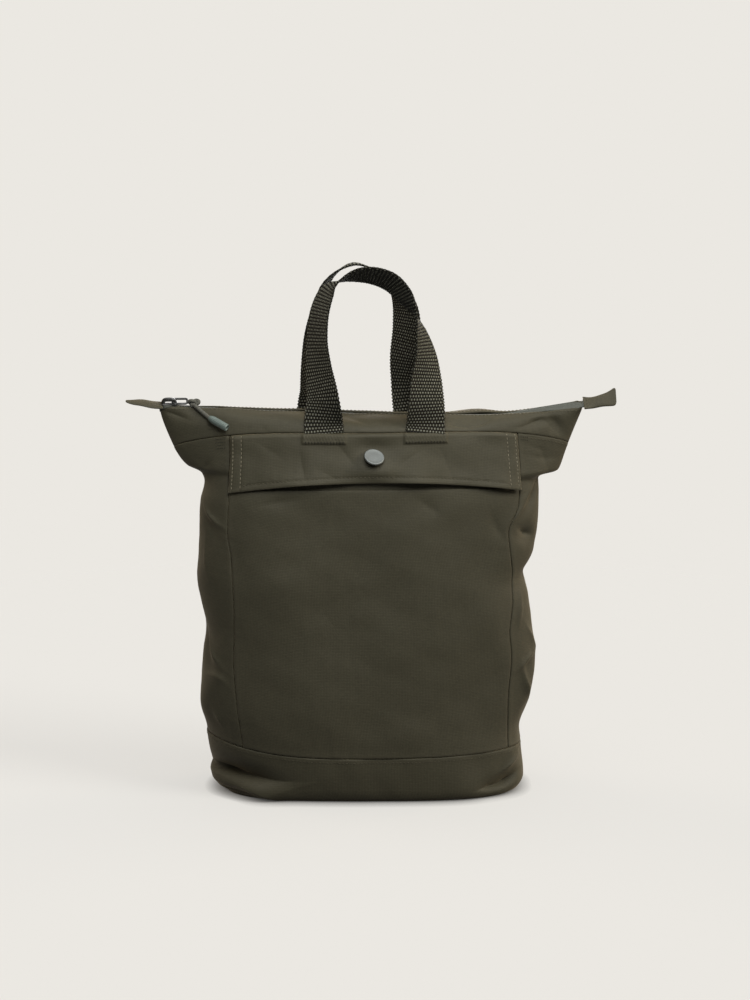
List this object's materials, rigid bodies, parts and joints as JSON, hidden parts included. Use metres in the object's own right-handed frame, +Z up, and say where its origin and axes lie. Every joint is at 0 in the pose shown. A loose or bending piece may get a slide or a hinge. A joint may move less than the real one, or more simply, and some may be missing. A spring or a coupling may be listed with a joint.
{
  "type": "waterproof backpack",
  "caption": "Soft upright tote-shaped backpack of coated cloth with a zipped top, a front pocket under a snap flap, webbing handles and shoulder straps.",
  "frame": {"origin": "on the floor under the middle of the base", "axes": "+Z up, -Y out of the front with the flap and pocket, +X to the right of someone who looks at the front"},
  "size_m": [0.4808, 0.1454, 0.5311],
  "materials": {
    "cloth": "tightly woven dark olive cloth with a waterproof coating, a dull sheen",
    "webbing": "coarse woven olive-black webbing with light flecks",
    "steel": "satin grey press-stud cap",
    "zip": "grey coated waterproof zip tape",
    "black_metal": "black lacquered slider and wire puller",
    "cord": "braided olive cord",
    "rubber_end": "matt grey-green moulded end"
  },
  "bodies": {
    "root": {"base_tray": "cloth", "front_wall": "cloth", "pocket_panel": "cloth", "side_panel_left": "cloth", "side_panel_right": "cloth", "back_panel": "cloth", "yoke_front": "cloth", "yoke_back": "cloth", "flap": "cloth", "zip_tab_left": "cloth", "zip_tab_right": "cloth", "handle_front": "webbing", "handle_back": "webbing", "shoulder_strap_left": "webbing", "shoulder_strap_right": "webbing", "snap_cap": "steel", "zip_tape": "zip", "zip_slider": "black_metal", "zip_puller": "black_metal", "pull_knot": "cord", "pull_cord": "cord", "pull_end": "rubber_end"}
  },
  "joints": []
}
